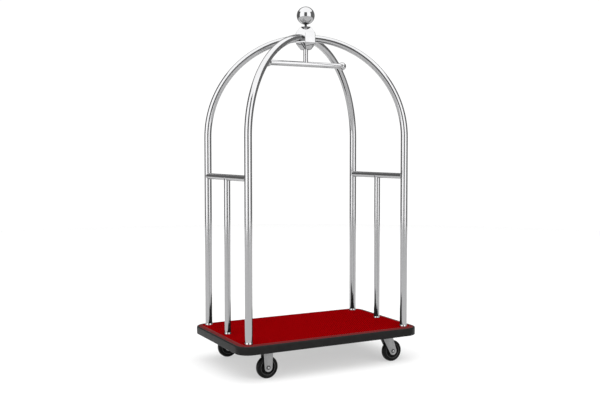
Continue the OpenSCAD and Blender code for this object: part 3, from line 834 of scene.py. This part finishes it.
def hex_nut(shape, centre, axis, radius, height):
    """Hexagon nut with chamfered corners."""
    turn = Z.rotation_difference(axis)
    levels = ((0.9, 0.0), (1.0, 0.12), (1.0, 0.85), (0.9, 1.0))
    rings = [[centre + turn @ Vector((x * share, y * share, height * level))
              for x, y in rounded_hexagon(radius, 1.2 * MM)] for share, level in levels]
    shape.rings(rings)


def threaded_end(shape, centre, axis, radius, length):
    """Short bolt end with ridged thread."""
    pitch = 1.25 * MM
    root_radius = radius * 0.88
    profile = [(POLE, 0)]
    for i in range(int(length / pitch)):
        profile += [(root_radius, i * pitch), (radius, (i + 0.5) * pitch)]
    profile += [(root_radius, length - 0.4 * MM), (radius * 0.75, length), (POLE, length)]
    shape.revolve(profile, centre, axis, 32)


def caster(place, swivels):
    """Fork with its crown or plate, axle set and wheel of one caster."""
    centre = WHEELS[place]
    outward = Vector((0, -1 if "front" in place else 1, 0))
    caster_x = CASTER_X if swivels else -CASTER_X
    body = "swivel_" + place if swivels else "root"
    outer_face = LEG_GAP / 2 + LEG_THICKNESS
    fork = Shape()
    top_z = (crown_top if swivels else plate_hi.z) - TOP_INSET
    half = SWIVEL_LEG_HALF if swivels else RIGID_LEG_HALF
    for side in (-1, 1):
        pressed_leg(fork, half, top_z, Vector((caster_x, centre.y, 0)), centre, side)
    if swivels:
        bore, race = 6.2 * MM, 17 * MM
        race_z = LEG_THICKNESS - 0.8 * MM
        crown = [(bore, 0), (half, 0), (half, LEG_THICKNESS), (race + 2 * MM, LEG_THICKNESS),
                 (race, race_z), (bore, race_z)]
        underside = Vector((caster_x, centre.y, crown_top - LEG_THICKNESS))
        fork.revolve(rounded(crown, 0.7 * MM, 2), underside, Z, 64, closed=True)
    else:
        half_size = (plate_hi - plate_lo) / 2
        corners = [(sx * half_size.x, sy * half_size.y) for sx, sy in ((-1, -1), (1, -1), (1, 1), (-1, 1))]
        fork.plate(rounded(corners, 12 * MM, 6), plate_hi.z - LEG_THICKNESS, plate_hi.z,
                   lambda u, v, w: Vector((caster_x + u, centre.y + v, w)))
    fork.piece("fork_" + place + "_pressing", body, "caster_steel", ["fork_" + place],
               sharp=30, bevel=0.5 * MM)

    pressed, washer_thickness, nut_height = 0.8 * MM, 2.2 * MM, 6.5 * MM
    rings = Shape()
    for direction in (outward, -outward):
        seat = centre + direction * (outer_face - pressed)
        washer(rings, seat, direction, 5 * MM, 10.5 * MM, washer_thickness)
    rings.piece("axle_" + place + "_washers", body, "zinc_steel", finish=GREY_STEEL_AND_LIT_EDGE, sharp=30)
    axle = Shape()
    washer_face = outer_face - pressed + washer_thickness
    button_head(axle, centre + outward * washer_face, outward, 6.2 * MM, 3.5 * MM)
    hex_nut(axle, centre - outward * washer_face, -outward, 8.4 * MM, nut_height)
    threaded_end(axle, centre - outward * (washer_face + nut_height), -outward, 5 * MM, 3.5 * MM)
    axle.revolve([(7 * MM, -LEG_GAP / 2), (7 * MM, LEG_GAP / 2)], centre, Y, 32)
    axle.piece("axle_" + place + "_set", body, "zinc_steel", ["axle_" + place], sharp=30)

    wheel(place, centre)


def wheel(place, centre):
    """Crowned tyre, moulded core with ribs, and on each side a thin grey ring that is a painted highlight of
    the core's lit edge.
    """
    body = "wheel_" + place
    rim = 40 * MM
    half = TYRE_HALF
    one_side = [(rim + 0.1 * MM, 12.5 * MM), (rim + 1.5 * MM, 13.6 * MM), (rim + 5 * MM, half - 0.6 * MM)]
    one_side += [(rim + 5.6 * MM, half - 0.1 * MM)]
    one_side += arc(WHEEL_RADIUS - 10 * MM, half - 10 * MM, 10 * MM, 88, 0, 10)
    one_side += [(WHEEL_RADIUS, 0.35 * MM)]
    profile = one_side + [(r, -h) for r, h in reversed(one_side)]
    Shape().revolve(profile, centre, Y, 96, closed=True).piece(
        "tyre_" + place + "_tread", body, "tyre_rubber", ["tyre_" + place], sharp=35)

    core = Shape()
    boss = [(10.1 * MM, 15 * MM), (16 * MM, 15 * MM), (17 * MM, 14 * MM)]
    web = [(18.5 * MM, 5.5 * MM), (20 * MM, 5 * MM), (32 * MM, 5 * MM), (33.5 * MM, 5.8 * MM)]
    flange = [(34.5 * MM, 12 * MM), (35.5 * MM, 12.6 * MM), (rim, 12.6 * MM)]
    side = boss + web + flange
    core.revolve(side + [(r, -h) for r, h in reversed(side)], centre, Y, 80, closed=True)
    for k in range(8):
        angle = math.tau * k / 8
        along = Vector((math.cos(angle), 0, math.sin(angle)))
        across = Vector((-math.sin(angle), 0, math.cos(angle)))
        start, end, half_rib, rib_depth = 17 * MM, 34.2 * MM, 1.2 * MM, 10.5 * MM
        outline = [(start, -half_rib), (end, -half_rib), (end, half_rib), (start, half_rib)]
        core.plate(outline, -rib_depth, rib_depth, lambda u, v, w: centre + along * u + across * v + Y * w)
    core.piece("core_" + place + "_moulding", body, "core_plastic", ["core_" + place], sharp=35)

    # painted highlight: a lighter grey ring laid on the core's edge where it catches the light
    lit_edge_ring = Shape()
    inner, outer, thickness = 37.4 * MM, 39.4 * MM, 1.1 * MM
    corners = [(inner, 0), (outer, 0), (outer, thickness), (inner, thickness)]
    for sign in (-1, 1):
        seat = centre + Y * (sign * 12.5 * MM)
        lit_edge_ring.revolve(rounded(corners, 0.4 * MM, 3), seat, Y * sign, 80, closed=True)
    lit_edge_ring.piece("ring_" + place, body, "zinc_steel", finish=GREY_STEEL_AND_LIT_EDGE, sharp=50)


# ---------- build the pieces ----------

carpet()
carpet_border()
bumper()
hoop("hoop_back_right", POST_ANGLE)
hoop("hoop_back_left", 180 - POST_ANGLE)
hoop("hoop_front_left", 180 + POST_ANGLE)
hoop("hoop_front_right", -POST_ANGLE)
end_frame("left", -1)
end_frame("right", 1)
collars()
hub()
finial()
garment_bar()
for caster_place in WHEELS:
    caster(caster_place, caster_place.endswith("right"))

slot_of = {row["node"]: row["material_slot"] for row in frame["record"]["subparts"]}
for node_name, node_object in frame["nodes"].items():
    node_object.data.materials.clear()
    node_object.data.materials.append(FINISHES[slot_of[node_name]])


# ---------- studio ----------

# distances in metres, the lens in millimetres, the shift in parts of the picture's width
CAMERA_AZIMUTH = math.radians(-28.08)
CAMERA_PITCH = math.radians(2.87)
CAMERA_DISTANCE = 4.5396
CAMERA_TARGET_Z = 0.9014
CAMERA_LENS = 50.66
CAMERA_SHIFT = (-0.0095, -0.0115)


def camera():
    """Camera at the front left, about a metre above the floor, looking slightly down."""
    data = bpy.data.cameras.new("camera")
    data.lens = CAMERA_LENS
    data.shift_x, data.shift_y = CAMERA_SHIFT
    data.clip_end = 100
    back = Vector((math.sin(CAMERA_AZIMUTH) * math.cos(CAMERA_PITCH),
                   -math.cos(CAMERA_AZIMUTH) * math.cos(CAMERA_PITCH), math.sin(CAMERA_PITCH)))
    made = bpy.data.objects.new("camera", data)
    made.location = Vector((0, 0, CAMERA_TARGET_Z)) + back * CAMERA_DISTANCE
    made.rotation_mode = "QUATERNION"
    made.rotation_quaternion = (-back).to_track_quat("-Z", "Y")
    bpy.context.scene.collection.objects.link(made)
    bpy.context.scene.camera = made


STUDIO_RADIUS = 8.5
CEILING_Z = 8.0
# where the bright part of the ceiling ends, as a distance from the middle towards the camera
BRIGHT_TO = -3.8
# the floor's own glow on the camera's side and on the far side, and how far from the middle
# it starts and stops to change
FLOOR_GLOW = (0.3, 0.66)
FLOOR_FADE = (-6.0, 5.0)
FLOOR_Z = -0.2 * MM
STUDIO_WALLS = (
    # from and to, in degrees to the right of the camera's own direction, then the radiance
    ("gap", -19, 18, 0.24),
    ("softbox_right", 18, 68, 2.55),
    ("side_right", 68, 138, 0.3),
    ("back", 138, 222, 0.32),
    ("side_left", 222, 280, 0.22),
    ("softbox_left", 280, 341, 2.55),
)


def stage_piece(name, verts, faces, material, hidden_from_camera=False):
    """One sheet of the studio, which isn't part of the object."""
    mesh = bpy.data.meshes.new(name)
    mesh.from_pydata(verts, [], faces)
    mesh.materials.append(material)
    made = bpy.data.objects.new(name, mesh)
    made.visible_camera = not hidden_from_camera
    bpy.context.scene.collection.objects.link(made)


def glow(name, radiance):
    """Plain emission of one studio panel."""
    made = bpy.data.materials.new(name)
    made.use_nodes = True
    tree = made.node_tree
    tree.nodes.clear()
    light = tree.nodes.new("ShaderNodeEmission")
    light.inputs["Strength"].default_value = radiance
    tree.links.new(light.outputs[0], tree.nodes.new("ShaderNodeOutputMaterial").inputs["Surface"])
    return made


def disc(z, start=0.0, end=math.tau, steps=96):
    """Rim points of a round sheet, or of the part of it between two angles from the camera's side."""
    points = []
    for i in range(steps):
        angle = start + (end - start) * i / (steps - 1 if end - start < math.tau else steps) + CAMERA_AZIMUTH
        points.append((STUDIO_RADIUS * math.sin(angle), -STUDIO_RADIUS * math.cos(angle), z))
    return points


def studio():
    """Round white studio: pale floor, bright ceiling, two softboxes and a dark gap between them."""
    pale = Finish("pale_floor", Specular_IOR_Level=0.0, Roughness=1.0)
    pale.shader.inputs["Emission Color"].default_value = (1, 1, 1, 1)
    away = pale.node("ShaderNodeVectorMath", operation="DOT_PRODUCT")
    pale.link(pale.coords, away.inputs[0])
    away.inputs[1].default_value = (-math.sin(CAMERA_AZIMUTH), math.cos(CAMERA_AZIMUTH), 0)
    floor_glow = pale.spread(away.outputs["Value"], *FLOOR_GLOW, *FLOOR_FADE)
    pale.link(floor_glow, pale.shader.inputs["Emission Strength"])
    pale.colour(pale.mix(pale.spread(pale.noise(3), 0, 1), (0.42, 0.42, 0.42), (0.425, 0.425, 0.425)))
    split = math.acos(BRIGHT_TO / STUDIO_RADIUS)
    sheets = (("floor", disc(FLOOR_Z), pale.material, False),
              ("ceiling_bright", disc(CEILING_Z, -split, split), glow("ceiling_bright", 2.45), True),
              ("ceiling_dim", disc(CEILING_Z, split, math.tau - split), glow("ceiling_dim", 0.9), True))
    for name, rim, material, hidden in sheets:
        stage_piece(name, rim, [tuple(range(len(rim)))], material, hidden)
    for name, start, end, radiance in STUDIO_WALLS:
        steps = 12
        verts = []
        for i in range(steps + 1):
            angle = math.radians(start + (end - start) * i / steps) + CAMERA_AZIMUTH
            for z in (0.0, CEILING_Z):
                verts.append((STUDIO_RADIUS * math.sin(angle), -STUDIO_RADIUS * math.cos(angle), z))
        faces = [(2 * i, 2 * i + 2, 2 * i + 3, 2 * i + 1) for i in range(steps)]
        stage_piece("wall_" + name, verts, faces, glow("wall_" + name, radiance), True)
    world = bpy.data.worlds.new("studio")
    world.use_nodes = True
    world.node_tree.nodes["Background"].inputs["Color"].default_value = (1, 1, 1, 1)
    world.node_tree.nodes["Background"].inputs["Strength"].default_value = 1.05
    bpy.context.scene.world = world


camera()
studio()
bpy.context.scene.view_settings.view_transform = "Standard"
